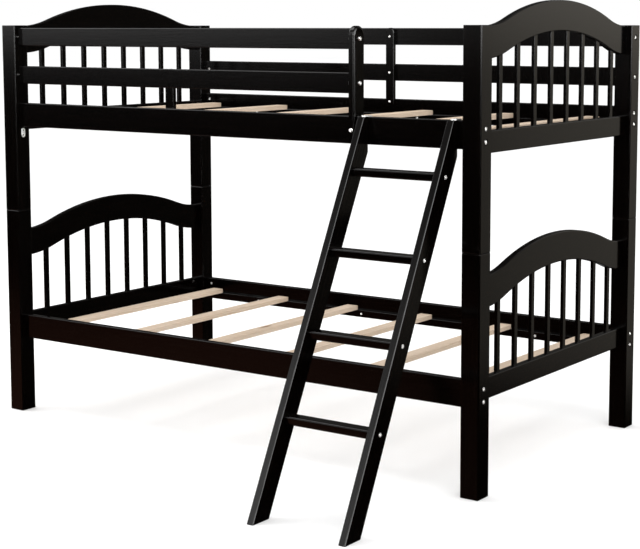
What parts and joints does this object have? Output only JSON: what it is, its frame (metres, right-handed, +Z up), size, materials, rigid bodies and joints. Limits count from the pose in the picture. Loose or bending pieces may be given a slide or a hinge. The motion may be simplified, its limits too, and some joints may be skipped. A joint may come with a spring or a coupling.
{
  "type": "bunk bed",
  "caption": "Stacking bunk bed in dark wood with arched spindle end panels, guard boards, slatted decks and a leaning hook-on ladder.",
  "frame": {"origin": "on the floor, at the middle of the bounding box of the bed with its ladder", "axes": "+X along the bed towards the ladder's end, +Y from the ladder's side to the back, +Z up"},
  "size_m": [2.005, 1.6528, 1.497],
  "materials": {
    "dark_wood": "satin lacquer",
    "deck_pine": "bare, sanded",
    "steel": "zinc plated"
  },
  "bodies": {
    "lower_bunk": {"lower_post_front_left": "dark_wood", "lower_post_front_right": "dark_wood", "lower_post_rear_left": "dark_wood", "lower_post_rear_right": "dark_wood", "lower_arch_left": "dark_wood", "lower_arch_right": "dark_wood", "lower_panel_rail_left": "dark_wood", "lower_panel_rail_right": "dark_wood", "lower_spindles": "dark_wood", "lower_side_rail_front": "dark_wood", "lower_side_rail_rear": "dark_wood", "lower_ledgers": "dark_wood", "lower_slat_1": "deck_pine", "lower_slat_2": "deck_pine", "lower_slat_3": "deck_pine", "lower_slat_4": "deck_pine", "lower_slat_5": "deck_pine", "lower_slat_6": "deck_pine", "lower_bolts": "steel", "lower_barrel_nuts": "steel", "lower_screws": "steel", "post_pins": "steel"},
    "upper_bunk": {"upper_post_front_left": "dark_wood", "upper_post_front_right": "dark_wood", "upper_post_rear_left": "dark_wood", "upper_post_rear_right": "dark_wood", "upper_arch_left": "dark_wood", "upper_arch_right": "dark_wood", "upper_panel_rail_left": "dark_wood", "upper_panel_rail_right": "dark_wood", "upper_spindles": "dark_wood", "upper_side_rail_front": "dark_wood", "upper_side_rail_rear": "dark_wood", "upper_ledgers": "dark_wood", "upper_slat_1": "deck_pine", "upper_slat_2": "deck_pine", "upper_slat_3": "deck_pine", "upper_slat_4": "deck_pine", "upper_slat_5": "deck_pine", "upper_slat_6": "deck_pine", "guard_front_top": "dark_wood", "guard_front_mid": "dark_wood", "guard_front_stiffener": "dark_wood", "guard_end_upright": "dark_wood", "guard_rear_top": "dark_wood", "guard_rear_mid": "dark_wood", "guard_rear_stiffener": "dark_wood", "upper_bolts": "steel", "upper_barrel_nuts": "steel", "upper_screws": "steel", "post_plate": "steel"},
    "ladder": {"ladder_stile_left": "dark_wood", "ladder_stile_right": "dark_wood", "ladder_rung_1": "dark_wood", "ladder_rung_2": "dark_wood", "ladder_rung_3": "dark_wood", "ladder_rung_4": "dark_wood", "ladder_hooks": "steel", "ladder_bolts": "steel"}
  },
  "joints": [
    {"name": "upper_lift", "type": "slide", "parent": "lower_bunk", "child": "upper_bunk", "axis": [0, 0, 1], "range_m": [0, 0.045]},
    {"name": "ladder_lift", "type": "slide", "parent": "upper_bunk", "child": "ladder", "axis": [0, 0, 1], "range_m": [0, 0.06]}
  ]
}
